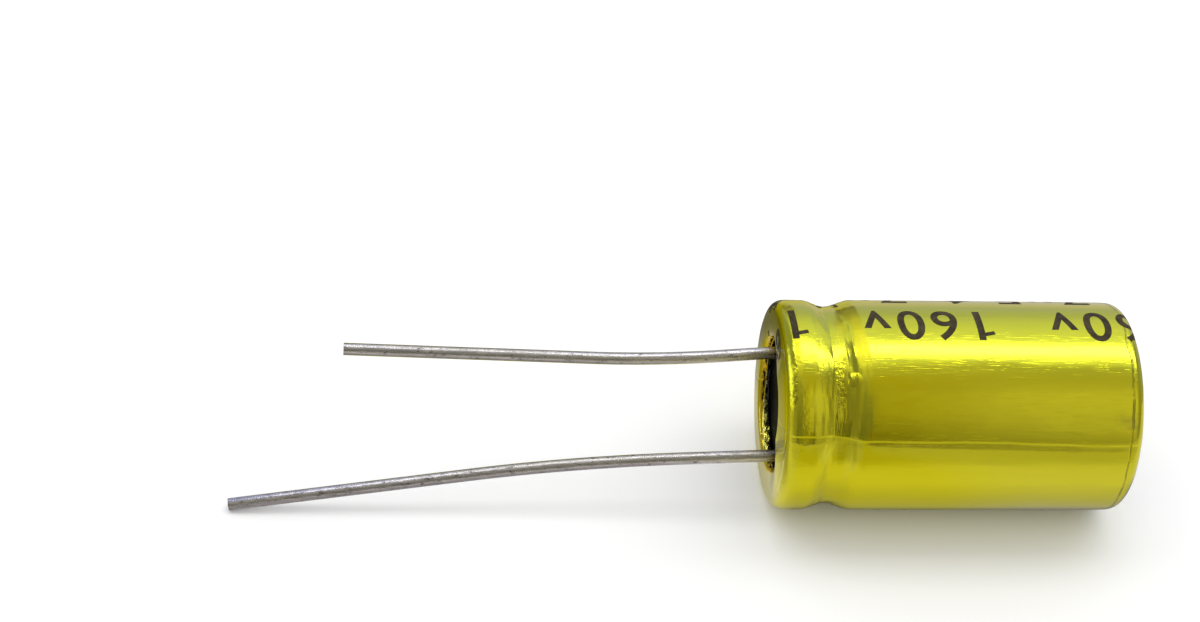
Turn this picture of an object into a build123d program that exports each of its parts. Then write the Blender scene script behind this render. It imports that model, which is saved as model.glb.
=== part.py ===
from build123d import *
import os
from math import cos, radians, sin

# Radial electrolytic capacitor, non-polarized, 10 x 17 mm, lying on its side on bent leads.
# Millimetres. The origin is the centre of the seating face, where the sleeve is folded over
# the rim. +X runs along the axis to the closed end, the leads leave towards -X, +Z is up.

# ---- Driving dimensions ----
CAN_DIAMETER = 10.0         # drawn aluminium can, outside
CASE_LENGTH = 17.2          # over the sleeve, seating face to closed end
CAN_WALL = 0.3
FILM = 0.1                  # shrunk sleeve
SHOULDER_RADIUS = 0.5       # can's closed-end corner
CURL_RADIUS = 0.5           # can's rim, where it rolls inwards
LIP_REACH = 0.5             # rolled rim: how far the lip runs in below its bend
LIP_BACK = 0.25             # and how far it turns back onto the seal
ROUND_CUTS = 2              # straight cuts that make up each of those two roundings

BEAD_POSITION = 2.6         # centre of the pressed-in groove, from the seating face
BEAD_HALF_WIDTH = 1.25
BEAD_FLOOR = 0.5            # half width of its flat bottom
BEAD_DEPTH = 0.7            # in the can
FILM_BEAD_DEPTH = 0.35      # the film spans the groove and only follows part of the way

RIM_OPENING = 6.6           # hole in the film at the leads' end
TOP_OPENING = 7.8           # hole in the film at the closed end
CREASE_RISE = 16.7          # sleeve's seam line, above the mid-line on the -Y side; its crease is 6 higher

VENT_LENGTH = 6.0           # arms of the score cross in the closed end
VENT_WIDTH = 0.25
VENT_DEPTH = 0.12

SEAL_LENGTH = 3.8

LEAD_DIAMETER = 0.6
LEAD_PITCH = 5.0
LEAD_LEAN = 40.0            # turn of the line through both leads, off the vertical
EXIT_BEND = 20.0            # bend radius of a lead where it leaves the seal
LONG_LEAD = 26.0            # seating face to tip, along the axis; the tip lies on the table
LONG_BEND = 9.5             # seating face to the middle of its long curve
LONG_BEND_RADIUS = 110.0
LONG_BEND_SWAY = 0.03       # there, how far it has strayed sideways from its hole
LONG_BEND_SAG = 0.5         # and downwards
LONG_TIP_SWAY = -0.49
SHORT_LEAD = 20.6
SHORT_BEND = 5.5
SHORT_BEND_RADIUS = 65.0
SHORT_BEND_SWAY = -0.32
SHORT_BEND_SAG = 0.25
SHORT_TIP_SWAY = 0.04       # its tip is level with its hole again
WELD_DEPTH = 1.2            # below the seal's outer face, where wire meets post
POST_DIAMETER = 1.4

LAYER = 0.42                # thickness of each wound strip
SLACK = 0.03                # gap between one layer and the next
TAB_TURN = 1                # turns inside the one that carries a tab
TAB_WIDTH = 1.7
TAB_THICKNESS = 0.24
TAB_REACH = 7.5             # how far a tab runs down its foil
END_CLEARANCE = 0.1         # winding to the can's closed end
HEAD_CLEARANCE = 0.6        # winding to the seal
FOIL_MARGIN = 0.5           # separator paper stands past the foil at each edge
TAPE = 0.08

# ---- Worked out from them ----
CAN_RADIUS = CAN_DIAMETER / 2
INNER_RADIUS = CAN_RADIUS - CAN_WALL
RIM_X = FILM
END_X = CASE_LENGTH - FILM
SHOULDER = (END_X - SHOULDER_RADIUS, CAN_RADIUS - SHOULDER_RADIUS)
CURL = (RIM_X + CURL_RADIUS, CAN_RADIUS - CURL_RADIUS)
FLOOR_Z = -(CAN_RADIUS + FILM)
LEAD_RADIUS = LEAD_DIAMETER / 2
SEAL_FACE_X = RIM_X + LIP_BACK + CAN_WALL
SEAL_BACK_X = SEAL_FACE_X + SEAL_LENGTH
WELD_X = SEAL_FACE_X + WELD_DEPTH
PAPER_TOP_X = SEAL_BACK_X + HEAD_CLEARANCE
PAPER_END_X = END_X - CAN_WALL - END_CLEARANCE
FOIL_TOP_X = PAPER_TOP_X + FOIL_MARGIN
FOIL_END_X = PAPER_END_X - FOIL_MARGIN
STEP = 2 * (LAYER + SLACK)  # growth of a strip's radius in half a turn
CORE_RADIUS = LEAD_PITCH / 2 - 2 * TAB_TURN * STEP
TAPE_RADIUS = INNER_RADIUS - TAPE
ROLL_RADIUS = TAPE_RADIUS - TAPE
HALF_TURNS = int((ROLL_RADIUS - LAYER / 2 - CORE_RADIUS) / STEP)


def turned(lines):
    """Solid of revolution about the axis; outlines are drawn as x along and y out from it."""
    return revolve(Plane.XZ * make_face(lines), Axis.X)


def rounding(centre, radius, start):
    """Points of a quarter round, from the angle start to start + 90."""
    angles = [radians(start + 90 * cut / ROUND_CUTS) for cut in range(ROUND_CUTS + 1)]
    return [(centre[0] + radius * cos(a), centre[1] + radius * sin(a)) for a in angles]


def groove(wall, depth):
    """Points of the pressed-in groove of a wall of that radius, from its far edge to its near one."""
    return [
        (BEAD_POSITION + BEAD_HALF_WIDTH, wall),
        (BEAD_POSITION + BEAD_FLOOR, wall - depth),
        (BEAD_POSITION - BEAD_FLOOR, wall - depth),
        (BEAD_POSITION - BEAD_HALF_WIDTH, wall),
    ]


def case_outline(film, depth):
    """Points down the case from its closed end to its rim, on a film of that thickness or none."""
    return [
        *rounding(SHOULDER, SHOULDER_RADIUS + film, 0),
        *groove(CAN_RADIUS + film, depth),
        *rounding(CURL, CURL_RADIUS + film, 90),
    ]


def sleeve():
    """Shrunk film tube, folded over the shoulder and over the rolled rim; its crease isn't cut."""
    outside = case_outline(FILM, FILM_BEAD_DEPTH)
    inside = case_outline(0, FILM_BEAD_DEPTH)
    return Rot(90 - CREASE_RISE, 0, 0) * turned(Polyline(
        (CASE_LENGTH, TOP_OPENING / 2),
        *outside,
        (0, RIM_OPENING / 2),
        (RIM_X, RIM_OPENING / 2),
        *reversed(inside),
        (END_X, TOP_OPENING / 2),
        close=True,
    ))


def can():
    """Drawn cup with its groove, rolled rim and the pressure-relief cross in the closed end."""
    lip = (RIM_X + LIP_BACK, CURL[1] - LIP_REACH)
    cup = turned(Polyline(
        (END_X, 0),
        *case_outline(0, BEAD_DEPTH),
        lip,
        (lip[0] + CAN_WALL, lip[1]),
        (RIM_X + CAN_WALL, CURL[1]),
        (RIM_X + CAN_WALL, INNER_RADIUS),
        *reversed(groove(INNER_RADIUS, BEAD_DEPTH)),
        (END_X - CAN_WALL, INNER_RADIUS),
        (END_X - CAN_WALL, 0),
        close=True,
    ))
    arm = Box(2 * VENT_DEPTH, VENT_LENGTH, VENT_WIDTH)
    cross = arm + Rot(90, 0, 0) * arm
    return cup - Pos(END_X, 0, 0) * Rot(LEAD_LEAN, 0, 0) * cross


def lead_plane(x):
    """Plane across the axis at x, its +Y towards the short lead and -Y towards the long one."""
    lean = radians(LEAD_LEAN)
    return Plane(origin=(x, 0, 0), x_dir=(0, cos(lean), -sin(lean)), z_dir=(1, 0, 0))


def lead_spot(side, x=0.0):
    """Where a lead crosses the plane at x: side 1 is the short lead, -1 the long one."""
    return lead_plane(x) * Pos(0, side * LEAD_PITCH / 2)


def along_axis(face, start, end):
    """Bar from x = start to x = end, its section drawn in the leads' plane."""
    return extrude(lead_plane(start) * face, amount=end - start, dir=(1, 0, 0))


def round_bar(side, radius, start, end):
    """Straight round bar on a lead's line."""
    return along_axis(Pos(0, side * LEAD_PITCH / 2) * Circle(radius), start, end)


def rubber_seal():
    """Bung that fills the can's mouth, pinched by the groove, with a stepped hole for each lead."""
    bung = turned(Polyline(
        (SEAL_FACE_X, 0),
        (SEAL_BACK_X, 0),
        (SEAL_BACK_X, INNER_RADIUS),
        *groove(INNER_RADIUS, BEAD_DEPTH),
        (SEAL_FACE_X, INNER_RADIUS),
        close=True,
    ))
    for side in (1, -1):
        bung -= round_bar(side, LEAD_RADIUS, SEAL_FACE_X, WELD_X)
        bung -= round_bar(side, POST_DIAMETER / 2, WELD_X, SEAL_BACK_X)
    return bung


def lead_wire(side, bend, tip, slow):
    """Tinned wire from its weld in the seal, out, round one slow bend and straight to a cut end."""
    start = lead_spot(side, WELD_X).position
    route = FilletPolyline(
        start,
        lead_spot(side).position,
        bend,
        tip,
        radius=(EXIT_BEND, slow),
    )
    return sweep(Plane(origin=start, z_dir=(-1, 0, 0)) * Circle(LEAD_RADIUS), path=route)


def long_lead():
    """Lower lead: it sags until its tip lies on the table."""
    bend = lead_spot(-1, -LONG_BEND).position + (0, LONG_BEND_SWAY, -LONG_BEND_SAG)
    tip = lead_spot(-1, -LONG_LEAD).position + (0, LONG_TIP_SWAY, 0)
    return lead_wire(-1, bend, (tip.X, tip.Y, FLOOR_Z + LEAD_RADIUS), LONG_BEND_RADIUS)


def short_lead():
    """Upper lead: it dips a little, then runs on level with its hole in the seal."""
    bend = lead_spot(1, -SHORT_BEND).position + (0, SHORT_BEND_SWAY, -SHORT_BEND_SAG)
    tip = lead_spot(1, -SHORT_LEAD).position + (0, SHORT_TIP_SWAY, 0)
    return lead_wire(1, bend, tip, SHORT_BEND_RADIUS)


def strip(first_radius, half_turned, start, end):
    """One wound strip: half circles about two centres, each a step wider than the last."""
    lines = []
    for turn in range(HALF_TURNS):
        upper = turn % 2 == 0
        centre = (-STEP / 2 if upper else STEP / 2, 0)
        radius = first_radius + turn * STEP
        for edge in (radius - LAYER / 2, radius + LAYER / 2):
            lines.append(CenterArc(centre, edge, 0 if upper else 180, 180))
    inner_end = first_radius - STEP / 2
    outer_end = (inner_end + HALF_TURNS * STEP) * (1 if HALF_TURNS % 2 == 0 else -1)
    for x in (inner_end, outer_end):
        lines.append(Line((x - LAYER / 2, 0), (x + LAYER / 2, 0)))
    face = make_face(lines)
    return along_axis(Rot(0, 0, 180) * face if half_turned else face, start, end)


def tab_blade(side):
    """Flat of a tab: staked into its foil and curved with the turn that carries it."""
    radius = LEAD_PITCH / 2
    ring = Circle(radius + TAB_THICKNESS / 2) - Circle(radius - TAB_THICKNESS / 2)
    window = Pos(0, side * radius) * Rectangle(TAB_WIDTH, radius)
    arc = (Pos(-side * STEP / 2, 0) * ring) & window
    return along_axis(arc, SEAL_BACK_X, FOIL_TOP_X + TAB_REACH)


def tab(side):
    """Aluminium tab: round post in the seal, pressed down to a flat blade below it."""
    radius = POST_DIAMETER / 2
    post = round_bar(side, radius, WELD_X, SEAL_BACK_X)
    taper = make_face(Polyline(
        (SEAL_BACK_X, radius),
        (PAPER_TOP_X, TAB_THICKNESS / 2),
        (PAPER_TOP_X, -TAB_THICKNESS / 2),
        (SEAL_BACK_X, -radius),
        close=True,
    ))
    lengthwise = Plane(lead_spot(side).position, x_dir=(1, 0, 0), z_dir=lead_plane(0).x_dir)
    wedge = extrude(lengthwise * taper, amount=radius, both=True)
    neck = wedge & round_bar(side, radius, SEAL_BACK_X, PAPER_TOP_X)
    return post + neck + tab_blade(side)


def foil(side):
    """Etched aluminium foil with its tab staked into it."""
    return strip(CORE_RADIUS, side < 0, FOIL_TOP_X, FOIL_END_X) - tab_blade(side)


def separator(side):
    """Paper that keeps one foil off the other, wider than the foils."""
    return strip(CORE_RADIUS + STEP / 2, side < 0, PAPER_TOP_X, PAPER_END_X)


def winding_tape():
    """Band of tape that holds the roll shut."""
    return along_axis(Circle(TAPE_RADIUS) - Circle(ROLL_RADIUS), FOIL_TOP_X, FOIL_END_X)


PIECES = {
    "sleeve": sleeve(),
    "can": can(),
    "rubber_seal": rubber_seal(),
    "long_lead_wire": long_lead(),
    "short_lead_wire": short_lead(),
    "long_lead_tab": tab(-1),
    "short_lead_tab": tab(1),
    "long_lead_foil": foil(-1),
    "short_lead_foil": foil(1),
    "inner_separator": separator(1),
    "outer_separator": separator(-1),
    "winding_tape": winding_tape(),
}

os.makedirs("parts", exist_ok=True)
for name, piece in PIECES.items():
    export_step(piece, f"parts/{name}.step")
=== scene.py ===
import math

import bpy
from bpy.props import FloatProperty, FloatVectorProperty, PointerProperty, StringProperty
from mathutils import Matrix, Vector, noise


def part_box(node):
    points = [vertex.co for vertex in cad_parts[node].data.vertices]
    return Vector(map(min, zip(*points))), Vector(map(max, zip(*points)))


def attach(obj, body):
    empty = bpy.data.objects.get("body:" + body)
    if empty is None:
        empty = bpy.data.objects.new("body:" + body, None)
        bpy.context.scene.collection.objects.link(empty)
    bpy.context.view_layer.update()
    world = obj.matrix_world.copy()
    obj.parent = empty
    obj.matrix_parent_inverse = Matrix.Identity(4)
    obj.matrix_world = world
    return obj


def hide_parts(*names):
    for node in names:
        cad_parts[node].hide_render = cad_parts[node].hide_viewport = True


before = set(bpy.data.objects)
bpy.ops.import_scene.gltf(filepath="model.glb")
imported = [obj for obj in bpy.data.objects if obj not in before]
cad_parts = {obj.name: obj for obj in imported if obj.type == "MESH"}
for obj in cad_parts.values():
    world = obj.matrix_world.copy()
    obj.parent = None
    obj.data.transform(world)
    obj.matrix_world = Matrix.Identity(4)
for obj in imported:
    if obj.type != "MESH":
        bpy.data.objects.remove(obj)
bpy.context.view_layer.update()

bl_info = {
    "name": "Radial Capacitor",
    "version": (1, 0, 0),
    "blender": (4, 5, 0),
    "location": "View3D > Sidebar > Capacitor",
    "description": "Film sleeve, rating print, leads, seal and stage round a packed capacitor",
    "category": "Object",
}

MM = 0.001
SLEEVE_LOW, SLEEVE_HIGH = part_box("sleeve")
LONG_LOW, LONG_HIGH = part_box("long_lead_wire")
SHORT_LOW, SHORT_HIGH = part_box("short_lead_wire")
AXIS_X = Vector((1, 0, 0))


# ---------------------------------------------------------------- sizes and colours


def length(label, text, value, **more):
    return FloatProperty(
        name=label, description=text, default=value, unit="LENGTH", subtype="DISTANCE", precision=6, **more
    )


def angle(label, text, degrees):
    return FloatProperty(
        name=label, description=text, default=math.radians(degrees), unit="ROTATION", subtype="ANGLE"
    )


def colour(label, text, value):
    return FloatVectorProperty(
        name=label, description=text, default=value, subtype="COLOR", size=3, min=0, max=1
    )


class CapacitorSizes(bpy.types.PropertyGroup):
    """Sizes of the film and its print."""

    radius: length("Case radius", "Outside of the film on the can's straight wall", -SLEEVE_LOW.z)
    case_length: length("Case length", "Seating face to closed end", SLEEVE_HIGH.x)
    film: length("Film", "Thickness of the shrunk film", 0.08 * MM)
    rounding: length("Rounding", "Outside radius of the film over the shoulder and the rim", 0.6 * MM)
    rim_opening: length("Rim opening", "Radius of the film's hole at the leads", 3.3 * MM)
    top_opening: length("Top opening", "Radius of the film's hole at the closed end", 3.9 * MM)
    turned_in: length("Turned in", "How deep the film's edge turns in at the leads' hole", 0.5 * MM)
    near_hem: length("Near hem", "How much further in the film's edge lies on the near side", 1.1 * MM)
    groove_place: length("Groove place", "Seating face to the middle of the groove", 2.6 * MM)
    groove_half: length("Groove half width", "Middle of the groove to its edge", 1.25 * MM)
    groove_depth: length("Groove depth", "How far the film follows the pressed groove", 0.35 * MM)
    crease_turn: angle("Crease turn", "The film's lay-flat crease, off the top towards the near side", 67.4)
    crease_depth: length("Crease depth", "Depth of the crease's valley", 0.022 * MM)
    pucker: length("Pucker", "Depth of the wrinkles in the groove", 0.05 * MM)
    figure_height: length("Figure height", "Height of the printed figures", 2.2 * MM)
    figure_pitch: length("Figure pitch", "Middle of one figure to the middle of the next", 1.66 * MM)
    figure_weight: length("Figure weight", "How much the strokes are thickened on each side", 0.034 * MM)
    print_period: length("Print period", "Distance after which the print repeats", 9.1 * MM)
    print_start: length("Print start", "Seating face to the middle of a rating's first figure", 9.55 * MM)


class CapacitorLeads(bpy.types.PropertyGroup):
    """Sizes of the two wires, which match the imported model."""

    radius: length("Radius", "Radius of the tinned wire", 0.3 * MM)
    pitch: length("Pitch", "Distance between the leads at the seal", 5.0 * MM)
    lean: angle("Lean", "Turn of the line through both leads, off the vertical", 40)
    inside: length("Inside", "How far a wire runs into the seal from the seating face", 1.85 * MM)
    exit_radius: length("Exit radius", "Bend radius where a wire leaves the seal", 20.0 * MM)
    long_bend: length("Long lead's bend", "Seating face to the middle of its slow bend", 9.5 * MM)
    long_radius: length("Long lead's bend radius", "Radius of its slow bend", 110.0 * MM)
    long_sway: length("Long lead's sway", "How far it has strayed sideways at the bend", 0.03 * MM)
    long_sag: length("Long lead's sag", "How far it has dropped at the bend", 0.5 * MM)
    long_tip_sway: length("Long lead's tip", "How far its tip has strayed sideways", -0.49 * MM)
    short_bend: length("Short lead's bend", "Seating face to the middle of its slow bend", 5.5 * MM)
    short_radius: length("Short lead's bend radius", "Radius of its slow bend", 65.0 * MM)
    short_sway: length("Short lead's sway", "How far it has strayed sideways at the bend", -0.32 * MM)
    short_sag: length("Short lead's sag", "How far it has dropped at the bend", 0.25 * MM)
    short_tip_sway: length("Short lead's tip", "How far its tip has strayed sideways", 0.04 * MM)


class CapacitorColours(bpy.types.PropertyGroup):
    """Colours of the finishes."""

    film: colour("Film", "Yellow-green film over bright aluminium", (0.63, 0.60, 0.015))
    film_inside: colour("Film, turned in", "The thick edge of the film inside its hole", (0.55, 0.38, 0.01))
    # the film on the rim away from the near side: a duller copy of the film, painted shade
    film_face_shaded: colour("Film over the rim", "Duller film on the seating face", (0.29, 0.265, 0.14))
    ink: colour("Ink", "Printed rating", (0.034, 0.027, 0.013))
    rubber: colour("Rubber", "Moulded seal", (0.006, 0.007, 0.006))
    tin: colour("Tin", "Tinned wire", (0.50, 0.48, 0.45))
    aluminium: colour("Aluminium", "Drawn can", (0.80, 0.80, 0.80))
    paper: colour("Paper", "Soaked separator paper", (0.70, 0.60, 0.42))
    tape: colour("Tape", "Adhesive tape round the winding", (0.72, 0.68, 0.48))
    floor: colour("Floor", "Pale table", (0.96, 0.96, 0.96))


class CapacitorRating(bpy.types.PropertyGroup):
    """The figures printed on the film."""

    volts: StringProperty(name="Voltage", description="Plain voltage figure", default="160v")
    farads: StringProperty(name="Capacitance", description="Plain capacitance figure", default="4.7µF")
    rows_lean: angle("Rows lean", "Place of the voltage row's base line, off the top", -13.7)
    rows_apart: angle("Rows apart", "Turn from the voltage row to the capacitance row", -38.2)


def sizes():
    return bpy.context.scene.capacitor_sizes


def leads():
    return bpy.context.scene.capacitor_leads


def colours():
    return bpy.context.scene.capacitor_colours


# ---------------------------------------------------------------- small helpers


def nothing_selected():
    """Object mode with nothing selected, because operators act on all that is."""
    if bpy.context.object and bpy.context.object.mode != "OBJECT":
        bpy.ops.object.mode_set(mode="OBJECT")
    bpy.ops.object.select_all(action="DESELECT")


def only(piece):
    nothing_selected()
    piece.select_set(True)
    bpy.context.view_layer.objects.active = piece


def apply_all(piece):
    """Applies the piece's modifiers in order."""
    only(piece)
    for name in [m.name for m in piece.modifiers]:
        bpy.ops.object.modifier_apply(modifier=name)


def settle(piece):
    """Moves the piece's place into its mesh, so that the object sits at the origin."""
    only(piece)
    bpy.ops.object.transform_apply(location=True, rotation=True, scale=True)


def tidy_mesh(piece, gap=0.2e-6):
    only(piece)
    bpy.ops.object.mode_set(mode="EDIT")
    bpy.ops.mesh.select_all(action="SELECT")
    bpy.ops.mesh.remove_doubles(threshold=gap)
    bpy.ops.mesh.normals_make_consistent(inside=False)
    bpy.ops.object.mode_set(mode="OBJECT")


def smooth(piece):
    only(piece)
    bpy.ops.object.shade_smooth()


def place_piece(piece, nodes, material):
    """Rides on the row's one body, stands for those nodes and takes its finish."""
    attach(piece, "root")
    if nodes:
        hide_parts(*nodes)
    piece.data.materials.clear()
    piece.data.materials.append(material)


def turned_shell(name, outline, around):
    """A ring pulled along an outline of (x, radius) points by extrude and resize, closed on itself."""
    nothing_selected()
    x, radius = outline[0]
    bpy.ops.mesh.primitive_circle_add(
        vertices=around, radius=radius, location=(x, 0, 0), rotation=(0, math.pi / 2, 0)
    )
    piece = bpy.context.object
    piece.name = piece.data.name = name
    settle(piece)
    bpy.ops.object.mode_set(mode="EDIT")
    bpy.ops.mesh.select_all(action="SELECT")
    for next_x, next_radius in outline[1:] + outline[:1]:
        bpy.ops.mesh.extrude_region_move(TRANSFORM_OT_translate={"value": (next_x - x, 0, 0)})
        grow = next_radius / radius
        bpy.ops.transform.resize(value=(1, grow, grow), center_override=(next_x, 0, 0))
        x, radius = next_x, next_radius
    bpy.ops.object.mode_set(mode="OBJECT")
    tidy_mesh(piece)
    return piece


# ---------------------------------------------------------------- shape of the film


def rounded(centre, radius, start, steps=4):
    """Quarter round, from the angle start on to start + 90 degrees."""
    angles = [math.radians(start + 90 * step / steps) for step in range(steps + 1)]
    return [(centre[0] + radius * math.cos(a), centre[1] + radius * math.sin(a)) for a in angles]


def film_outline():
    """Outer outline of the film, from its hole at the closed end to its turned-in edge at the leads."""
    s = sizes()
    far = (s.case_length - s.rounding, s.radius - s.rounding)
    near = (s.rounding, s.radius - s.rounding)
    points = [(s.case_length - 0.02 * MM, s.top_opening), (s.case_length, s.top_opening + 0.12 * MM)]
    points += rounded(far, s.rounding, 0)
    steps = 12
    start = s.groove_place + s.groove_half
    for step in range(1, steps + 1):
        points.append((far[0] + (start - far[0]) * step / steps, s.radius))
    for step in range(1, steps + 1):
        turn = math.pi * (2 * step / steps - 1)
        dip = s.groove_depth * (1 + math.cos(turn)) / 2
        points.append((start - 2 * s.groove_half * step / steps, s.radius - dip))
    points += rounded(near, s.rounding, 90)
    points += [
        (0.0, s.rim_opening + 0.6 * MM),
        (0.01 * MM, s.rim_opening + 0.14 * MM),
        (0.10 * MM, s.rim_opening + 0.01 * MM),
        (s.turned_in * 0.5, s.rim_opening - 0.02 * MM),
        (s.turned_in * 0.8, s.rim_opening - 0.03 * MM),
        (s.turned_in, s.rim_opening - 0.02 * MM),
    ]
    return points


def film_lining():
    """Inner outline of the film, back from the leads' end to the closed end."""
    s = sizes()
    t = s.film
    far = (s.case_length - s.rounding, s.radius - s.rounding)
    near = (s.rounding, s.radius - s.rounding)
    points = [
        (s.turned_in, s.rim_opening + 0.03 * MM),
        (s.turned_in * 0.5, s.rim_opening + 0.05 * MM),
        (t, s.rim_opening + 0.25 * MM),
    ]
    points += list(reversed(rounded(near, s.rounding - t, 90, 2)))
    points += [
        (s.groove_place - s.groove_half, s.radius - t),
        (s.groove_place, s.radius - t - s.groove_depth),
        (s.groove_place + s.groove_half, s.radius - t),
    ]
    points += list(reversed(rounded(far, s.rounding - t, 0, 2)))
    points += [(s.case_length - t, s.top_opening + 0.02 * MM)]
    return points


def bump_at(place, middle, width):
    """Smooth hill of height 1 at middle."""
    return math.exp(-(((place - middle) / width) ** 2))


def relief(x, turn):
    """How far the film stands off its plain turned shape at x and at that turn off the top."""
    s = sizes()
    along = x / MM
    ring = Vector((math.cos(turn), math.sin(turn), 0)) * s.radius / MM
    # wrinkles that cross the groove, broken into short puckers
    groove = bump_at(x, s.groove_place, 0.8 * s.groove_half)
    wave = noise.noise(Vector((along * 2.6, ring.x * 0.7, ring.y * 0.7)))
    wave += 0.5 * noise.noise(Vector((along * 5.5 + 7, ring.x * 1.5, ring.y * 1.5)))
    height = s.pucker * groove * wave
    # long shallow waves down the body, and a slack rim
    height += 0.014 * MM * noise.noise(Vector((along * 0.12 + 3, ring.x * 0.8, ring.y * 0.8)))
    rim = bump_at(x, 0.7 * MM, 0.8 * MM)
    height += 0.03 * MM * rim * noise.noise(Vector((along * 0.9, ring.x * 0.45 + 5, ring.y * 0.45)))
    # the two lay-flat creases are slightly bowed out
    off = math.sin(turn - s.crease_turn) * s.radius
    height += 0.02 * MM * bump_at(off, -0.1 * MM, 0.35 * MM)
    return height


def hem(x, radius, turn):
    """Uneven edge of the film at its two holes: how far a point there moves along and in or out."""
    s = sizes()
    ring = Vector((math.cos(turn), math.sin(turn), 0))
    if x > s.case_length / 2:
        near = bump_at(radius, s.top_opening, 0.4 * MM) if x > s.case_length - s.rounding / 2 else 0.0
        wave = noise.noise(ring * 2.2) + 0.3 * noise.noise(ring * 9)
        return 0.0, 0.16 * MM * near * wave
    flat = s.radius - s.rounding
    if x > s.turned_in * 1.2 or radius > flat:
        return 0.0, 0.0
    # on the near side, between the leads, the edge has shrunk further over the seal
    side = math.degrees(turn)
    over = min(1.0, max(0.0, (side + 30) / 45)) * min(1.0, max(0.0, (122 - side) / 30))
    over *= over * (3 - 2 * over)
    pulled = -s.near_hem * over * (flat - max(radius, s.rim_opening)) / (flat - s.rim_opening)
    if radius > s.rim_opening + 0.5 * MM:
        return 0.0, pulled
    deep = min(1.0, max(0.0, x / s.turned_in))
    crinkle = noise.noise(ring * 14 + Vector((0, 0, x / MM * 3)))
    slow = noise.noise(ring * 1.6 + Vector((4, 0, 0)))
    along = 0.11 * MM * deep * deep * (noise.noise(ring * 6) + slow) - 0.7 * x * over
    return along, pulled + MM * (0.05 * slow + 0.10 * deep * crinkle)


# ---------------------------------------------------------------- materials


class Nodes:
    """A new material's node tree, with short ways to add and join nodes."""

    def __init__(self, name):
        self.material = bpy.data.materials.new(name)
        self.material.use_nodes = True
        self.tree = self.material.node_tree
        self.shader = self.tree.nodes["Principled BSDF"]

    def add(self, kind, **settings):
        node = self.tree.nodes.new(kind)
        for key, value in settings.items():
            setattr(node, key, value)
        return node

    def join(self, source, target):
        """Joins an output to a socket, or sets a plain value on it."""
        if hasattr(source, "is_linked"):
            self.tree.links.new(source, target)
        else:
            target.default_value = source

    def here(self):
        return self.add("ShaderNodeTexCoord").outputs["Object"]

    def calc(self, operation, *values):
        node = self.add("ShaderNodeMath", operation=operation)
        for socket, value in zip(node.inputs, values):
            self.join(value, socket)
        return node.outputs["Value"]

    def round_axis(self):
        """Place along the axis, turn off the top towards the near side, and distance from the axis."""
        split = self.add("ShaderNodeSeparateXYZ")
        self.join(self.here(), split.inputs["Vector"])
        x, y, z = split.outputs
        near = self.calc("MULTIPLY", y, -1.0)
        radius = self.calc("SQRT", self.calc("MULTIPLY_ADD", y, y, self.calc("MULTIPLY", z, z)))
        return x, self.calc("ARCTAN2", near, z), radius

    def grain(self, scale, detail=4.0, rough=0.6, seed=0.0):
        """Noise whose lumps are about one over scale metres long."""
        mapping = self.add("ShaderNodeMapping")
        mapping.inputs["Scale"].default_value = scale
        mapping.inputs["Location"].default_value = (seed, seed, seed)
        self.join(self.here(), mapping.inputs["Vector"])
        texture = self.add("ShaderNodeTexNoise")
        texture.inputs["Scale"].default_value = 1.0
        texture.inputs["Detail"].default_value = detail
        texture.inputs["Roughness"].default_value = rough
        self.join(mapping.outputs["Vector"], texture.inputs["Vector"])
        return texture.outputs["Fac"]

    def span(self, value, low, high, to_low, to_high):
        reach = self.add("ShaderNodeMapRange")
        for socket, number in zip(("From Min", "From Max", "To Min", "To Max"), (low, high, to_low, to_high)):
            self.join(number, reach.inputs[socket])
        self.join(value, reach.inputs["Value"])
        return reach.outputs["Result"]

    def between(self, value, low, high, soft):
        """1 from low to high, fading to 0 over soft on both sides."""
        rise = self.span(value, low - soft, low, 0.0, 1.0)
        return self.calc("MULTIPLY", rise, self.span(value, high, high + soft, 1.0, 0.0))

    def spot(self, x, degrees, reach):
        """1 at that place on the film's wall, fading to 0 at that reach from it."""
        turn, radius = math.radians(degrees), sizes().radius
        away = self.add("ShaderNodeVectorMath", operation="DISTANCE")
        self.join(self.here(), away.inputs[0])
        away.inputs[1].default_value = (x, -radius * math.sin(turn), radius * math.cos(turn))
        return self.span(away.outputs["Value"], 0.0, reach, 1.0, 0.0)

    def curve(self, value, stops, low, high):
        """A smooth curve through (place, level) stops, with levels from 0 to 1."""
        ramp = self.add("ShaderNodeValToRGB")
        ramp.color_ramp.interpolation = "EASE"
        elements = ramp.color_ramp.elements
        while len(elements) < len(stops):
            elements.new(0.5)
        for element, (place, level) in zip(elements, stops):
            element.position = (place - low) / (high - low)
            element.color = (level, level, level, 1)
        self.join(self.span(value, low, high, 0.0, 1.0), ramp.inputs["Fac"])
        return ramp.outputs["Color"]

    def mix(self, amount, first, second):
        mix = self.add("ShaderNodeMix", data_type="RGBA")
        for socket, value in ((0, amount), (6, first), (7, second)):
            self.join(value, mix.inputs[socket])
        return mix.outputs[2]

    def bump(self, *layers):
        """One bump from (height, depth in metres) layers added up."""
        total = 0.0
        for height, depth in layers:
            total = self.calc("MULTIPLY_ADD", height, depth / MM, total)
        bump = self.add("ShaderNodeBump")
        bump.inputs["Strength"].default_value = 1.0
        bump.inputs["Distance"].default_value = MM
        self.join(total, bump.inputs["Height"])
        self.join(bump.outputs["Normal"], self.shader.inputs["Normal"])

    def fixed(self, **values):
        for key, value in values.items():
            self.shader.inputs[key.replace("_", " ")].default_value = value


def wide(shade):
    return (*shade, 1)


def darker(shade, factor):
    return tuple(channel * factor for channel in shade)


# Colours of the film's marks: the painted highlight below and the painted shade above on its crinkled edge
# inside the hole, pale specks, and the smudge at the closed end
CRINKLE_PAINTED_HIGHLIGHT = (0.85, 0.80, 0.13, 1)
CRINKLE_PAINTED_SHADE = (0.03, 0.04, 0.012, 1)
CRINKLE_SPECK = (0.50, 0.55, 0.30, 1)
SMUDGE = (0.25, 0.21, 0.05, 1)


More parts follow.
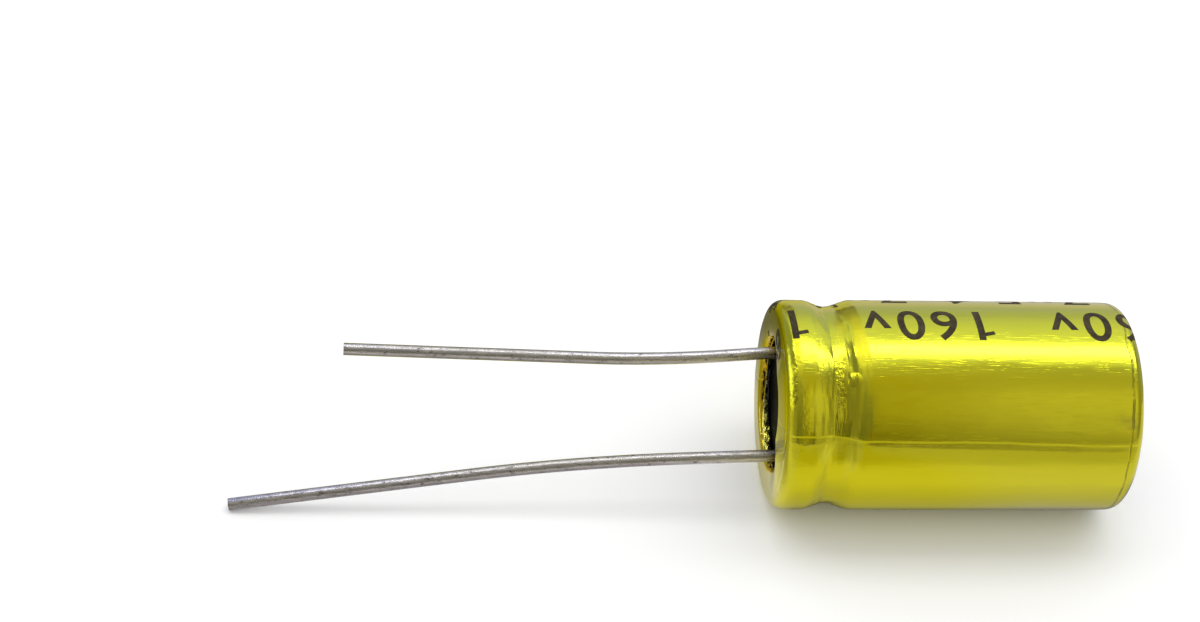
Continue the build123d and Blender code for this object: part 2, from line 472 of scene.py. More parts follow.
def film_finish():
    """Glossy transparent film over bright metal: creased, puckered, fold lines at its ends, fine scuffs."""
    n = Nodes("film_finish")
    c, s = colours(), sizes()
    x, turn, radius = n.round_axis()
    cloud = n.grain((90, 300, 300), detail=3)
    tint = n.mix(n.span(cloud, 0.4, 0.65, 0.0, 0.3), wide(c.film), wide(darker(c.film, 0.78)))
    # the ring over the rim has the film's own colour on the near side, and elsewhere a duller copy of it,
    # which is painted shade
    face = n.span(x, 0.02 * MM, 0.14 * MM, 0.85, 0.0)
    near = n.between(turn, math.radians(15), math.radians(108), math.radians(25))
    tint = n.mix(face, tint, n.mix(near, wide(c.film_face_shaded), wide(darker(c.film, 0.95))))
    # there it is shaded as if it swelled out towards its edge: this is bump only, the mesh is flat
    cone = n.calc("MULTIPLY", near, n.span(radius, 2.0 * MM, s.radius - s.rounding, 2.5, 0.0))

    # inside the hole: a smooth orange band, then crinkles with a painted highlight below and painted shade
    # with pale specks above
    inside = n.calc("MULTIPLY", n.span(radius, s.rim_opening + 0.1 * MM, s.rim_opening + 0.2 * MM, 1.0, 0.0),
                    n.span(x, 0.04 * MM, 0.12 * MM, 0.0, 1.0))
    crinkle = n.grain((2500, 2500, 2500), detail=4, seed=3.0)
    band = n.span(turn, math.radians(-155), math.radians(-115), 0.17 * MM, 0.32 * MM)
    deep = n.span(n.calc("SUBTRACT", x, band), 0.0, 0.06 * MM, 0.0, 1.0)
    speck = n.span(n.grain((5200, 5200, 5200), detail=2, seed=9.0), 0.52, 0.60, 0.0, 1.0)
    # the upper crinkles are painted shade, the lower ones a painted highlight
    shaded_upper = n.mix(speck, CRINKLE_PAINTED_SHADE, CRINKLE_SPECK)
    painted_shade_upwards = n.span(turn, math.radians(-150), math.radians(-128), 0.0, 1.0)
    crinkles_painted_light = n.mix(painted_shade_upwards, CRINKLE_PAINTED_HIGHLIGHT, shaded_upper)
    tint = n.mix(inside, tint, n.mix(deep, wide(c.film_inside), crinkles_painted_light))

    # the crease: a steep step down, then a slow rise, higher on the rim and lower at the closed end
    wander = n.span(n.grain((160, 40, 40), detail=2), 0.3, 0.7, -0.05 * MM, 0.05 * MM)
    rim_shift = n.span(x, s.groove_place - 0.6 * MM, s.groove_place + 0.9 * MM, 0.22 * MM, 0.0)
    far_shift = n.span(x, 6.0 * MM, s.case_length, 0.0, -0.14 * MM)
    angle_off = n.calc("SINE", n.calc("SUBTRACT", turn, s.crease_turn))
    shift = n.calc("ADD", wander, n.calc("ADD", rim_shift, far_shift))
    off = n.calc("MULTIPLY_ADD", angle_off, s.radius, shift)
    fading = n.span(n.grain((260, 60, 60), detail=3, seed=13.0), 0.35, 0.6, 0.45, 1.0)
    valley = n.curve(off, ((-0.03 * MM, 0.0), (0.09 * MM, 1.0), (0.46 * MM, 0.0)), -0.2 * MM, 0.6 * MM)

    # the fold over the closed end's shoulder: a thin line of painted shade, broken in places, and a smudge
    # beside it
    cloud_fine = n.grain((900, 900, 900), detail=3, seed=14.0)
    drift = n.span(n.grain((60, 330, 330), detail=3, seed=5.0), 0.3, 0.7, -0.10 * MM, 0.10 * MM)
    fold_place = n.calc("ADD", x, drift)
    fold = n.between(fold_place, s.case_length - 0.67 * MM, s.case_length - 0.63 * MM, 0.05 * MM)
    broken = n.span(n.grain((900, 1100, 1100), detail=4, seed=8.0), 0.38, 0.60, 0.2, 0.9)
    painted_shade_fold = n.calc("MULTIPLY", fold, broken)
    # the fold line is darkened in the film's colour: painted shade
    tint = n.mix(n.calc("MULTIPLY", painted_shade_fold, 0.7), tint, wide(darker(c.film, 0.25)))
    smudge = n.calc("MULTIPLY", n.span(cloud_fine, 0.40, 0.6, 0.0, 0.55), n.spot(16.45 * MM, 59, 1.0 * MM))
    tint = n.mix(smudge, tint, SMUDGE)

    # bands across the groove with painted shade in their hollows, beads round the rim and in the groove with
    # painted shade in their pits, and one small blister
    groove = n.between(x, s.groove_place - 0.9 * MM, s.groove_place + 0.7 * MM, 0.7 * MM)
    facing = n.between(turn, math.radians(18), math.radians(80), math.radians(25))
    groove = n.calc("MULTIPLY", groove, n.calc("MULTIPLY_ADD", facing, 0.75, 0.25))
    broad = n.grain((1100, 170, 170), detail=1, seed=11.0)
    wrinkle = n.grain((2600, 420, 420), detail=3, rough=0.5, seed=1.0)
    # the hollows between the bands are darkened in the film's colour: painted shade
    hollows_painted_shade = n.span(n.calc("MULTIPLY", groove, broad), 0.46, 0.58, 0.0, 0.40)
    tint = n.mix(hollows_painted_shade, tint, wide(darker(c.film, 0.45)))
    rim = n.between(x, 0.1 * MM, 0.7 * MM, 0.5 * MM)
    beads = n.grain((3800, 3000, 3000), detail=4, seed=2.0)
    high = n.between(turn, math.radians(26), math.radians(46), math.radians(7))
    rim_row = n.between(x, 0.28 * MM, 0.42 * MM, 0.08 * MM)
    groove_row = n.between(x, 2.42 * MM, 2.68 * MM, 0.18 * MM)
    dotted = n.calc("MULTIPLY", n.calc("ADD", rim_row, groove_row), high)
    dots = n.grain((4600, 4600, 4600), detail=3, seed=12.0)
    # the pits in the dotted rows are darkened in the film's colour: painted shade
    pits_painted_shade = n.calc("MULTIPLY", dotted, n.span(dots, 0.42, 0.56, 1.0, 0.0))
    tint = n.mix(n.calc("MULTIPLY", pits_painted_shade, 0.6), tint, wide(darker(c.film, 0.3)))
    blister = n.spot(3.15 * MM, 34, 0.42 * MM)
    n.join(tint, n.shader.inputs["Base Color"])

    streak = n.grain((330, 3000, 3000), detail=5, rough=0.6)
    scratch = n.span(n.grain((900, 15000, 15000), detail=3, seed=4.0), 0.58, 0.72, 0.0, 1.0)
    swell = n.grain((220, 700, 700), detail=2, seed=6.0)
    n.join(n.span(streak, 0.3, 0.75, 0.10, 0.20), n.shader.inputs["Roughness"])
    n.bump(
        (n.calc("MULTIPLY", valley, fading), -s.crease_depth),
        (painted_shade_fold, -0.03 * MM),
        (cone, 0.33 * MM),
        (n.calc("MULTIPLY", groove, n.calc("SUBTRACT", broad, 0.5)), 0.12 * MM),
        (n.calc("MULTIPLY", groove, n.calc("SUBTRACT", wrinkle, 0.5)), 0.045 * MM),
        (n.calc("MULTIPLY", rim, beads), 0.025 * MM),
        (n.calc("MULTIPLY", dotted, n.calc("SUBTRACT", dots, 0.5)), 0.08 * MM),
        (blister, 0.10 * MM),
        (n.calc("MULTIPLY", n.calc("MULTIPLY", inside, deep), crinkle), 0.12 * MM),
        (swell, 0.016 * MM),
        (streak, 0.006 * MM),
        (scratch, 0.002 * MM),
    )
    n.fixed(Metallic=1.0, Coat_Weight=0.25, Coat_Roughness=0.05, Coat_IOR=1.5, Specular_Tint=(1, 1, 0.85, 1))
    return n.material


def ink_finish():
    n = Nodes("ink_finish")
    c = colours()
    thin = n.grain((2600, 2600, 2600), detail=4)
    base = n.mix(n.span(thin, 0.4, 0.75, 0.0, 1.0), wide(c.ink), wide(darker(c.ink, 2.4)))
    n.join(base, n.shader.inputs["Base Color"])
    n.join(n.span(thin, 0.3, 0.7, 0.55, 0.7), n.shader.inputs["Roughness"])
    n.fixed(Specular_IOR_Level=0.06)
    return n.material


def rubber_finish():
    """Black moulded rubber with pale specks of dust."""
    n = Nodes("rubber_finish")
    c = colours()
    mottle = n.grain((900, 900, 900), detail=6)
    base = n.mix(n.span(mottle, 0.35, 0.7, 0.0, 1.0), wide(c.rubber), wide(darker(c.rubber, 2.2)))
    dust = n.span(n.grain((4200, 4200, 4200), detail=2, seed=3.0), 0.70, 0.76, 0.0, 0.8)
    n.join(n.mix(dust, base, (0.16, 0.17, 0.15, 1)), n.shader.inputs["Base Color"])
    n.join(n.span(mottle, 0.3, 0.7, 0.45, 0.65), n.shader.inputs["Roughness"])
    n.bump((mottle, 0.008 * MM))
    n.fixed(Specular_IOR_Level=0.02)
    return n.material


def tin_finish():
    """Tinned wire, drawn lengthwise, with speckled scuffs."""
    n = Nodes("tin_finish")
    c = colours()
    drawn = n.grain((700, 9000, 9000), detail=6, rough=0.7)
    scuff = n.grain((2600, 5200, 5200), detail=5, rough=0.7, seed=2.0)
    base = n.mix(n.span(drawn, 0.35, 0.7, 0.0, 1.0), wide(darker(c.tin, 0.72)), wide(darker(c.tin, 1.3)))
    base = n.mix(n.span(scuff, 0.57, 0.66, 0.0, 0.9), base, wide(darker(c.tin, 0.25)))
    n.join(base, n.shader.inputs["Base Color"])
    n.join(n.span(scuff, 0.3, 0.7, 0.14, 0.36), n.shader.inputs["Roughness"])
    n.bump((drawn, 0.014 * MM), (scuff, 0.012 * MM))
    n.fixed(Metallic=1.0)
    return n.material


def metal_finish(name, shade, scale, low, high):
    """Bare aluminium with fine drawing marks."""
    n = Nodes(name)
    marks = n.grain(scale, detail=6, rough=0.65)
    base = n.mix(n.span(marks, 0.3, 0.7, 0.0, 1.0), wide(darker(shade, 0.82)), wide(shade))
    n.join(base, n.shader.inputs["Base Color"])
    n.join(n.span(marks, 0.3, 0.7, low, high), n.shader.inputs["Roughness"])
    n.bump((marks, 0.003 * MM))
    n.fixed(Metallic=1.0)
    return n.material


def soft_finish(name, shade, scale, rough):
    """Paper or tape: matt, slightly mottled, with a fine fibre."""
    n = Nodes(name)
    fibre = n.grain(scale, detail=6, rough=0.7)
    base = n.mix(n.span(fibre, 0.3, 0.7, 0.0, 1.0), wide(darker(shade, 0.78)), wide(shade))
    n.join(base, n.shader.inputs["Base Color"])
    n.join(n.span(fibre, 0.3, 0.7, rough - 0.1, rough + 0.1), n.shader.inputs["Roughness"])
    n.bump((fibre, 0.006 * MM))
    return n.material


def dress(node, material):
    """Gives a CAD node its finish."""
    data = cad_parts[node].data
    if not data.materials:
        data.materials.append(material)
    for place in range(len(data.materials)):
        data.materials[place] = material


# ---------------------------------------------------------------- pieces


class CAPACITOR_OT_sleeve(bpy.types.Operator):
    """Shrunk film over the can, with its puckered groove, creases and folded ends"""

    bl_idname = "capacitor.sleeve"
    bl_label = "Film sleeve"

    def execute(self, context):
        s = sizes()
        piece = turned_shell("film_sleeve", film_outline() + film_lining(), 96)
        smoother = piece.modifiers.new("smoother", "SUBSURF")
        smoother.levels = smoother.render_levels = 2
        apply_all(piece)
        for vertex in piece.data.vertices:
            x, y, z = vertex.co
            radius, turn = math.hypot(y, z), math.atan2(-y, z)
            on_wall = min(1.0, max(0.0, (radius - s.rim_opening) / (1.4 * MM)))
            deeper, wider = hem(x, radius, turn)
            grown = min(radius + relief(x, turn) * on_wall + wider, s.radius)
            vertex.co = (x + deeper, y * grown / radius, z * grown / radius)
        smooth(piece)
        place_piece(piece, ["sleeve"], film_finish())
        return {"FINISHED"}


def film_route():
    """The film's outer outline as (length so far, x, radius), from its edge at the closed end."""
    points = film_outline()
    walked, rows = 0.0, [(0.0, *points[0])]
    for (x0, r0), (x1, r1) in zip(points, points[1:]):
        walked += math.hypot(x1 - x0, r1 - r0)
        rows.append((walked, x1, r1))
    return rows


def on_film(rows, run, turn, lift):
    """Point that far along the film's outline, at that turn off the top, lifted off the film."""
    for (w0, x0, r0), (w1, x1, r1) in zip(rows, rows[1:]):
        if run <= w1:
            share, ahead, outward = (run - w0) / (w1 - w0), (x1 - x0) / (w1 - w0), (r1 - r0) / (w1 - w0)
            x = x0 + share * (x1 - x0) + lift * outward
            radius = r0 + share * (r1 - r0) - lift * ahead
            return Vector((x, -radius * math.sin(turn), radius * math.cos(turn)))
    raise ValueError("the print runs off the film")


def flag_of_one(height):
    """Short slanted flag at the head of a 1."""
    nothing_selected()
    bpy.ops.mesh.primitive_plane_add(size=1)
    flag = bpy.context.object
    flag.scale = (0.24 * height, 0.10 * height, 1)
    flag.rotation_euler = (0, 0, math.radians(14))
    flag.location = (-0.17 * height, 0.78 * height, 0)
    settle(flag)
    return flag


def flat_figure(letter, name):
    """One figure as a flat mesh, its base line on y = 0 and its middle at x = 0."""
    s = sizes()
    nothing_selected()
    bpy.ops.object.text_add()
    text = bpy.context.object
    text.data.body = letter
    text.data.size = s.figure_height / 0.72
    text.data.offset = s.figure_weight
    text.data.align_x = "CENTER"
    text.scale.x = 0.92
    text.data.resolution_u = 6
    bpy.ops.object.convert(target="MESH")
    settle(text)
    if letter == "1":
        flag = flag_of_one(s.figure_height)
        text.select_set(True)
        bpy.context.view_layer.objects.active = text
        flag.select_set(True)
        bpy.ops.object.join()
    text.name = name
    return text


def cut_cells(piece, cell):
    """Cuts a flat mesh along a grid, so that it can follow a curved wall."""
    only(piece)
    corners = [v.co.copy() for v in piece.data.vertices]
    bpy.ops.object.mode_set(mode="EDIT")
    for axis, normal in ((0, (1, 0, 0)), (1, (0, 1, 0))):
        low, high = min(c[axis] for c in corners), max(c[axis] for c in corners)
        for step in range(1, int((high - low) / cell) + 1):
            bpy.ops.mesh.select_all(action="SELECT")
            bpy.ops.mesh.bisect(plane_co=[n * (low + step * cell) for n in normal], plane_no=normal)
    bpy.ops.object.mode_set(mode="OBJECT")


def trim(piece, low, high):
    """Cuts away what lies outside low to high along x."""
    only(piece)
    bpy.ops.object.mode_set(mode="EDIT")
    for place, outward in ((low, -1), (high, 1)):
        bpy.ops.mesh.select_all(action="SELECT")
        bpy.ops.mesh.bisect(plane_co=(place, 0, 0), plane_no=(outward, 0, 0), clear_outer=True)
    bpy.ops.object.mode_set(mode="OBJECT")


class CAPACITOR_OT_rating(bpy.types.Operator):
    """Plain rating figures, repeated down the film in two rows"""

    bl_idname = "capacitor.rating"
    bl_label = "Rating print"

    def execute(self, context):
        rating = context.scene.capacitor_rating
        ink = ink_finish()
        self.row("rating_volts", rating.volts, rating.rows_lean, 0.0, ink)
        self.row("rating_farads", rating.farads, rating.rows_lean + rating.rows_apart, 0.3 * MM, ink)
        return {"FINISHED"}

    def row(self, name, word, lean, shift, ink):
        """One row: the word printed three times, as much of each as the film has room for."""
        s = sizes()
        rows = film_route()
        face, shoulder = next((walked, x) for walked, x, radius in rows if radius > s.radius - 0.001 * MM)
        first = face + shoulder - s.print_start + shift
        low, high = rows[0][0] + 0.05 * MM, rows[-1][0] - 0.35 * MM
        figures = []
        for repeat in (-1, 0, 1):
            for place, letter in enumerate(word):
                middle = first + repeat * s.print_period + place * s.figure_pitch
                if not low - s.figure_pitch / 2 < middle < high + s.figure_pitch / 2:
                    continue
                figure = flat_figure(letter, f"{name}_{len(figures)}")
                cut_cells(figure, 0.12 * MM)
                trim(figure, low - middle, high - middle)
                for vertex in figure.data.vertices:
                    vertex.co = on_film(rows, middle + vertex.co.x, lean + vertex.co.y / s.radius, 0.08 * MM)
                figures.append(figure)
        nothing_selected()
        for figure in figures:
            figure.select_set(True)
        bpy.context.view_layer.objects.active = figures[0]
        bpy.ops.object.join()
        printed = bpy.context.object
        printed.name = printed.data.name = name
        tidy_mesh(printed, 1e-7)
        wrap = printed.modifiers.new("wrap", "SHRINKWRAP")
        wrap.target = bpy.data.objects["film_sleeve"]
        wrap.wrap_method = "NEAREST_SURFACEPOINT"
        wrap.wrap_mode = "ABOVE_SURFACE"
        wrap.offset = 0.006 * MM
        apply_all(printed)
        place_piece(printed, [], ink)


def round_corner(before, corner, after, radius, steps):
    """Points of an arc of that radius that rounds a corner of a route."""
    back, onward = (before - corner).normalized(), (after - corner).normalized()
    half_turn = (math.pi - back.angle(onward)) / 2
    reach = radius * math.tan(half_turn)
    centre = corner + (back + onward).normalized() * radius / math.cos(half_turn)
    start, end = corner + back * reach, corner + onward * reach
    spokes = [(start.lerp(end, step / steps) - centre).normalized() for step in range(steps + 1)]
    return [centre + spoke * radius for spoke in spokes]


def wire(name, points):
    """Round stiff wire along a route, its cut ends slightly rounded off."""
    nothing_selected()
    bpy.ops.curve.primitive_nurbs_path_add()
    piece = bpy.context.object
    piece.name = piece.data.name = name
    curve = piece.data
    curve.splines.clear()
    line = curve.splines.new("POLY")
    line.points.add(len(points) - 1)
    for place, point in zip(line.points, points):
        place.co = (*point, 1)
    curve.dimensions = "3D"
    curve.bevel_depth = leads().radius
    curve.bevel_resolution = 10
    curve.use_fill_caps = True
    bpy.ops.object.convert(target="MESH")
    settle(piece)
    tidy_mesh(piece)
    worn = piece.modifiers.new("worn", "BEVEL")
    worn.width = 0.11 * MM
    worn.segments = 4
    worn.limit_method = "ANGLE"
    worn.angle_limit = math.radians(60)
    apply_all(piece)
    smooth(piece)
    return piece


class CAPACITOR_OT_leads(bpy.types.Operator):
    """Two tinned wires, bent by hand and cut to unequal lengths"""

    bl_idname = "capacitor.leads"
    bl_label = "Leads"

    def execute(self, context):
        w = leads()
        tin = tin_finish()
        floor_z = SLEEVE_LOW.z
        hole = self.hole(-1)
        bend = hole + Vector((-w.long_bend, w.long_sway, -w.long_sag))
        tip = Vector((LONG_LOW.x, hole.y + w.long_tip_sway, floor_z + w.radius))
        self.lead("long_lead", "long_lead_wire", hole, bend, tip, w.long_radius, tin)
        hole = self.hole(1)
        bend = hole + Vector((-w.short_bend, w.short_sway, -w.short_sag))
        tip = Vector((SHORT_LOW.x, hole.y + w.short_tip_sway, hole.z))
        self.lead("short_lead", "short_lead_wire", hole, bend, tip, w.short_radius, tin)
        return {"FINISHED"}

    def hole(self, side):
        w = leads()
        return Vector((0, math.sin(w.lean), math.cos(w.lean))) * side * w.pitch / 2

    def lead(self, name, node, hole, bend, tip, slow, tin):
        w = leads()
        inner = hole + AXIS_X * w.inside
        points = [
            inner,
            *round_corner(inner, hole, bend, w.exit_radius, 6),
            *round_corner(hole, bend, tip, slow, 24),
            tip,
        ]
        piece = wire(name, points)
        place_piece(piece, [node], tin)


class CAPACITOR_OT_case(bpy.types.Operator):
    """Finishes of the can, the seal and everything inside them"""

    bl_idname = "capacitor.case"
    bl_label = "Can, seal and winding"

    def execute(self, context):
        c = colours()
        dress("can", metal_finish("can_finish", c.aluminium, (900, 2600, 2600), 0.2, 0.38))
        dress("rubber_seal", rubber_finish())
        tab = metal_finish("tab_finish", darker(c.aluminium, 0.9), (600, 3000, 3000), 0.3, 0.5)
        foil = metal_finish("foil_finish", darker(c.aluminium, 0.75), (5000, 5000, 5000), 0.5, 0.75)
        paper = soft_finish("paper_finish", c.paper, (2500, 6000, 6000), 0.8)
        for side in ("long", "short"):
            dress(f"{side}_lead_tab", tab)
            dress(f"{side}_lead_foil", foil)
        for side in ("inner", "outer"):
            dress(f"{side}_separator", paper)
        dress("winding_tape", soft_finish("tape_finish", c.tape, (1800, 1800, 1800), 0.5))
        return {"FINISHED"}


# ---------------------------------------------------------------- stage


# Light in the studio dome, by degrees off the top towards the near side: over the leads, and over the case
# towards its leads' end and towards its closed end
DOME_RADIUS = 0.6
DOME_PEAK = 7.8
DOME_ABOVE = (
    (-90, 0.56), (-70, 0.64), (-55, 0.88), (-42, 1.0), (-31, 1.1), (-25, 1.5),
    (-18.4, 7.8), (-12.6, 7.8), (-6, 1.5),
)
DOME_WIRES = (
    (-90, 0.2), (-75, 0.4), (-50, 0.85), (-25, 1.5), (-12, 1.7), (-2, 1.3),
    (10, 0.75), (25, 0.44), (45, 0.34), (65, 0.27), (90, 0.22),
)
DOME_LEADS = (
    (3, 0.78), (12, 0.60), (19, 0.60), (30, 0.52), (50, 0.48), (62, 0.41), (72, 0.28), (82, 0.23), (90, 0.23),
)
DOME_CLOSED = (
    (3, 0.68), (8, 0.59), (18, 0.57), (29, 0.68), (39, 0.82), (52, 0.75), (70, 0.66), (80, 0.56), (90, 0.40),
)
DOME_LAMP, DOME_SKY = (1, 1, 0.95, 1), (0.93, 1.03, 1.7, 1)
DOME_WARM, DOME_YELLOW = (1, 0.95, 0.8, 1), (1, 0.84, 0.15, 1)
DOME_OVER_WIRES = (1, 0.98, 0.95, 1)
DOME_PAST_LAMP, DOME_PANEL_HIGH, DOME_PANEL_LOW = 0.4, 1.7, 0.6

# Colours of the table in reflections: near and far, beside the case and under it, and beside the leads
GLOW_NEAR, GLOW_NEAR_YELLOW = (1, 0.95, 1.0, 1), (1, 0.93, 0.4, 1)
GLOW_FAR, GLOW_FAR_YELLOW = (1, 0.95, 0.8, 1), (1, 0.91, 0.15, 1)
GLOW_BESIDE_LEADS = (1, 0.92, 0.02, 1)

WORLD_LIGHT, WORLD_SEEN = 0.95, 1.0
LAMP_PLACE, LAMP_LENGTH, LAMP_WIDTH, LAMP_POWER = (0, 0.16, 0.8), 1.6, 0.36, 2.3

CAMERA_LENS, CAMERA_SENSOR, CAMERA_CLIP = 72, 36, 0.005
CAMERA_LIFT, CAMERA_TURN, CAMERA_ROLL = 40, 7.76, 5.55
CAMERA_TARGET = (8.6, 0, 0)  # in millimetres, as are the next three
CAMERA_LEFT, CAMERA_UP, CAMERA_BACK = 16.79, 4.61, 117.51


class CAPACITOR_OT_stage(bpy.types.Operator):
    """Pale floor, soft studio light and the camera"""

    bl_idname = "capacitor.stage"
    bl_label = "Stage"

    def execute(self, context):
        self.floor()
        self.dome()
        self.world(context.scene)
        self.lamp()
        self.camera(context.scene)
        context.scene.view_settings.view_transform = "Standard"
        return {"FINISHED"}

    def floor(self):
        nothing_selected()
        bpy.ops.mesh.primitive_plane_add(size=2.0, location=(0, 0, SLEEVE_LOW.z))
        floor = bpy.context.object
        floor.name = "table"
        n = Nodes("table_finish")
        c = colours()
        grain = n.grain((300, 300, 300), detail=4)
        n.join(n.mix(grain, wide(darker(c.floor, 0.995)), wide(c.floor)), n.shader.inputs["Base Color"])
        n.fixed(Roughness=0.9, Specular_IOR_Level=0.1)
        # in reflections only, the table glows warmly: duller towards the camera and far behind, with a
        # painted shadow under the case and painted shade near the leads
        split = n.add("ShaderNodeSeparateXYZ")
        n.join(n.here(), split.inputs["Vector"])
        x, y, _ = split.outputs
        along = n.between(x, 1.6 * MM, SLEEVE_HIGH.x + 3 * MM, 2.5 * MM)
        beside = n.between(y, -3.0 * MM, 4.0 * MM, 5.5 * MM)
        core = n.between(y, -2.2 * MM, 3.0 * MM, 1.5 * MM)
        shade = n.calc("MULTIPLY_ADD", beside, 0.43, n.calc("MULTIPLY", core, 0.34))
        painted_shadow_under = n.calc("MULTIPLY", along, shade)
        cloud = n.grain((120, 120, 120), detail=2, seed=2.0)
        distant = n.span(n.calc("MULTIPLY_ADD", cloud, 10 * MM, y), -15 * MM, -10 * MM, 1.0, 0.0)
        level = n.calc("SUBTRACT", n.span(distant, 0.0, 1.0, 0.89, 0.68), painted_shadow_under)
        beyond = n.calc("MULTIPLY", n.between(y, 12.0 * MM, 18.0 * MM, 6.0 * MM), 0.75)
        beyond = n.calc("MAXIMUM", beyond, n.span(y, 16.0 * MM, 22.0 * MM, 0.0, 0.27))
        # near the leads the glow is dimmed: painted shade
        at_leads = n.span(x, -6.0 * MM, -2.0 * MM, 1.0, 0.0)
        wires = n.calc("MULTIPLY", at_leads, n.span(y, -9.0 * MM, -5.0 * MM, 0.0, 0.45))
        far = n.calc("MULTIPLY", at_leads, n.span(y, 4.0 * MM, 8.0 * MM, 0.0, 0.1))
        dimmed = n.calc("MAXIMUM", beyond, n.calc("ADD", wires, far))
        level = n.calc("MULTIPLY", level, n.calc("SUBTRACT", 1.0, dimmed))
        yellow = n.between(x, 2.0 * MM, 9.0 * MM, 4.5 * MM)
        nearer = n.mix(yellow, GLOW_NEAR, GLOW_NEAR_YELLOW)
        further = n.mix(yellow, GLOW_FAR, GLOW_FAR_YELLOW)
        past_rim = n.span(x, -2.6 * MM, -1.4 * MM, 1.0, 0.0)
        beside_leads = n.calc("MULTIPLY", past_rim, n.span(y, 0.0, 2.0 * MM, 0.0, 1.0))
        nearer = n.mix(beside_leads, nearer, GLOW_BESIDE_LEADS)
        glow = n.add("ShaderNodeEmission")
        n.join(n.mix(distant, nearer, further), glow.inputs["Color"])
        n.join(level, glow.inputs["Strength"])
        path = n.add("ShaderNodeLightPath")
        choice = n.add("ShaderNodeMixShader")
        n.join(path.outputs["Is Glossy Ray"], choice.inputs[0])
        n.join(n.shader.outputs["BSDF"], choice.inputs[1])
        n.join(glow.outputs["Emission"], choice.inputs[2])
        n.join(choice.outputs["Shader"], n.tree.nodes["Material Output"].inputs["Surface"])
        floor.data.materials.append(n.material)

    def dome(self):
        """Round studio dome seen only in reflections: a long bright lamp overhead and dimmer sides."""
        nothing_selected()
        bpy.ops.mesh.primitive_uv_sphere_add(segments=64, ring_count=32, radius=DOME_RADIUS)
        dome = bpy.context.object
        dome.name = "dome"
        bpy.ops.object.mode_set(mode="EDIT")
        bpy.ops.mesh.select_all(action="SELECT")
        bpy.ops.mesh.bisect(plane_co=(0, 0, SLEEVE_LOW.z), plane_no=(0, 0, -1), clear_outer=True)
        bpy.ops.object.mode_set(mode="OBJECT")
        n = Nodes("dome_finish")
        x, turn, _ = n.round_axis()
        off = n.calc("DEGREES", turn)
        wires, case, closed = [
            n.curve(off, [(place, light / DOME_PEAK) for place, light in levels], -90, 90)
            for levels in (DOME_WIRES, DOME_ABOVE + DOME_LEADS, DOME_ABOVE + DOME_CLOSED)
        ]
        level = n.mix(n.span(x, 0.13, 0.18, 0.0, 1.0), case, closed)
        lamp = n.span(level, 0.2, 0.9, 0.0, 1.0)
        # the near side is dimmer beside the rim; past the lamp's ends it is dim, then bright on the
        # leads' side
        low = n.span(off, 38.0, 50.0, 0.0, 1.0)
        level = n.calc("MULTIPLY", level, n.mix(low, (1, 1, 1, 1), n.span(x, 0.085, 0.105, 0.75, 1.06)))
        over_wires = n.between(x, -0.15, 0.085, 0.015)
        level = n.mix(over_wires, level, wires)
        past = n.span(n.calc("ABSOLUTE", n.calc("SUBTRACT", x, 0.1)), 0.30, 0.38, 0.0, 1.0)
        bright = n.span(low, 0.0, 1.0, DOME_PANEL_HIGH / DOME_PEAK, DOME_PANEL_LOW / DOME_PEAK)
        panel = n.mix(n.span(x, -0.525, -0.505, 1.0, 0.0), wide((DOME_PAST_LAMP / DOME_PEAK,) * 3), bright)
        level = n.calc("MULTIPLY", n.mix(past, level, panel), DOME_PEAK)
        yellow = n.between(x, 0.118, 0.14, 0.025)
        below = n.mix(yellow, DOME_WARM, DOME_YELLOW)
        above = n.mix(lamp, DOME_SKY, DOME_LAMP)
        glow = n.add("ShaderNodeEmission")
        n.join(level, glow.inputs["Strength"])
        shade = n.mix(n.span(off, -3.0, 18.0, 0.0, 1.0), above, below)
        n.join(n.mix(over_wires, shade, DOME_OVER_WIRES), glow.inputs["Color"])
        n.join(glow.outputs["Emission"], n.tree.nodes["Material Output"].inputs["Surface"])
        dome.data.materials.append(n.material)
        dome.visible_camera = False
        dome.visible_diffuse = False
        dome.visible_shadow = False
        dome.visible_transmission = False

    def world(self, scene):
        world = bpy.data.worlds.new("studio")
        scene.world = world
        world.use_nodes = True
        tree = world.node_tree
        back = tree.nodes["Background"]
        back.inputs["Color"].default_value = (1, 1, 1, 1)
        path = tree.nodes.new("ShaderNodeLightPath")
        seen = path.outputs["Is Camera Ray"]
        for ray in ("Is Glossy Ray", "Is Transmission Ray"):
            either = tree.nodes.new("ShaderNodeMath")
            either.operation = "MAXIMUM"
            tree.links.new(seen, either.inputs[0])
            tree.links.new(path.outputs[ray], either.inputs[1])
            seen = either.outputs["Value"]
        level = tree.nodes.new("ShaderNodeMapRange")
        sockets = ("From Min", "From Max", "To Min", "To Max")
        for socket, number in zip(sockets, (0, 1, WORLD_LIGHT, WORLD_SEEN)):
            level.inputs[socket].default_value = number
        tree.links.new(seen, level.inputs["Value"])
        tree.links.new(level.outputs["Result"], back.inputs["Strength"])

    def lamp(self):
        """Long soft lamp overhead, a little behind; reflections show the dome's lamp instead."""
        nothing_selected()
        bpy.ops.object.light_add(type="AREA", location=LAMP_PLACE)
        lamp = bpy.context.object
        lamp.name = lamp.data.name = "overhead"
        lamp.data.shape = "RECTANGLE"
        lamp.data.size = LAMP_LENGTH
        lamp.data.size_y = LAMP_WIDTH
        lamp.data.energy = LAMP_POWER
        lamp.visible_glossy = False

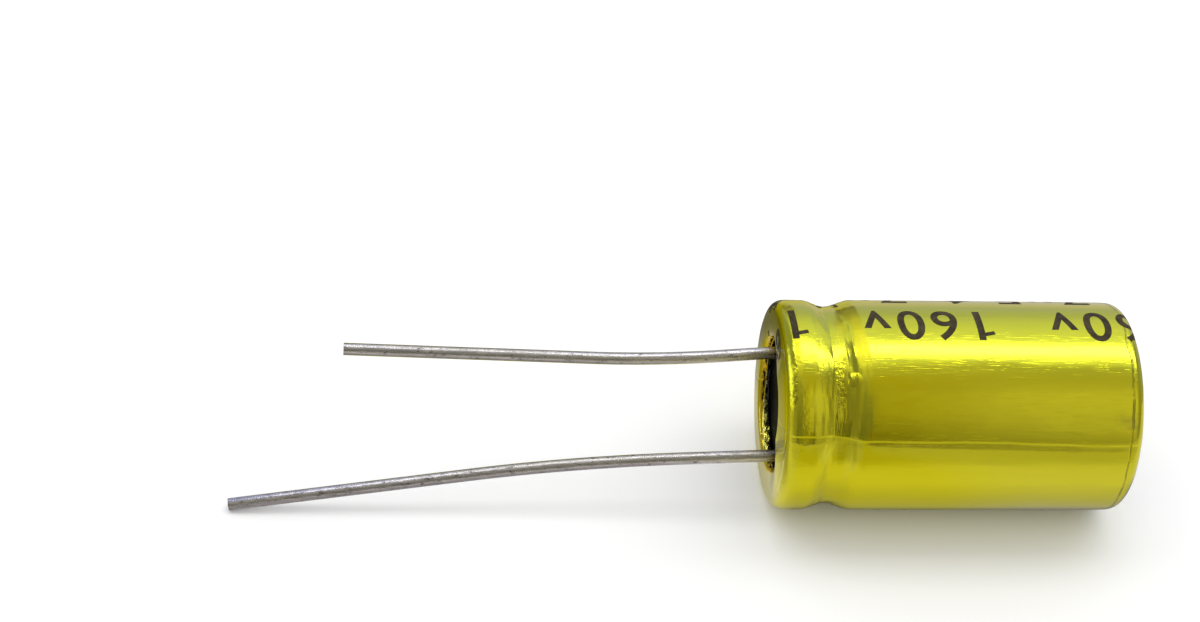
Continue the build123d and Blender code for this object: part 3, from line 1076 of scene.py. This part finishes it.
    def camera(self, scene):
        bpy.ops.object.camera_add()
        camera = bpy.context.object
        camera.name = "camera"
        camera.data.lens = CAMERA_LENS
        camera.data.sensor_width = CAMERA_SENSOR
        camera.data.clip_start = CAMERA_CLIP
        lift, turn, roll = (math.radians(degrees) for degrees in (CAMERA_LIFT, CAMERA_TURN, CAMERA_ROLL))
        ahead = Vector((math.sin(turn) * math.cos(lift), math.cos(turn) * math.cos(lift), -math.sin(lift)))
        level = Vector((math.cos(turn), -math.sin(turn), 0))
        above = level.cross(ahead)
        right = level * math.cos(roll) + above * math.sin(roll)
        up = above * math.cos(roll) - level * math.sin(roll)
        look_at = Vector(CAMERA_TARGET) * MM
        place = look_at - right * CAMERA_LEFT * MM + up * CAMERA_UP * MM - ahead * CAMERA_BACK * MM
        camera.matrix_world = Matrix.Translation(place) @ Matrix((right, up, -ahead)).transposed().to_4x4()
        scene.camera = camera


class CAPACITOR_PT_panel(bpy.types.Panel):
    """Lists the capacitor's operators"""

    bl_label = "Capacitor"
    bl_idname = "CAPACITOR_PT_panel"
    bl_space_type = "VIEW_3D"
    bl_region_type = "UI"
    bl_category = "Capacitor"

    def draw(self, context):
        for operator in OPERATORS:
            self.layout.operator(operator.bl_idname)


OPERATORS = (
    CAPACITOR_OT_sleeve,
    CAPACITOR_OT_rating,
    CAPACITOR_OT_leads,
    CAPACITOR_OT_case,
    CAPACITOR_OT_stage,
)
CLASSES = (CapacitorSizes, CapacitorLeads, CapacitorColours, CapacitorRating, *OPERATORS, CAPACITOR_PT_panel)


def register():
    for cls in CLASSES:
        bpy.utils.register_class(cls)
    bpy.types.Scene.capacitor_sizes = PointerProperty(type=CapacitorSizes)
    bpy.types.Scene.capacitor_leads = PointerProperty(type=CapacitorLeads)
    bpy.types.Scene.capacitor_colours = PointerProperty(type=CapacitorColours)
    bpy.types.Scene.capacitor_rating = PointerProperty(type=CapacitorRating)


def unregister():
    for name in ("capacitor_sizes", "capacitor_leads", "capacitor_colours", "capacitor_rating"):
        delattr(bpy.types.Scene, name)
    for cls in reversed(CLASSES):
        bpy.utils.unregister_class(cls)


def main():
    register()
    bpy.ops.capacitor.sleeve()
    bpy.ops.capacitor.rating()
    bpy.ops.capacitor.leads()
    bpy.ops.capacitor.case()
    bpy.ops.capacitor.stage()


if __name__ == "__main__":
    main()
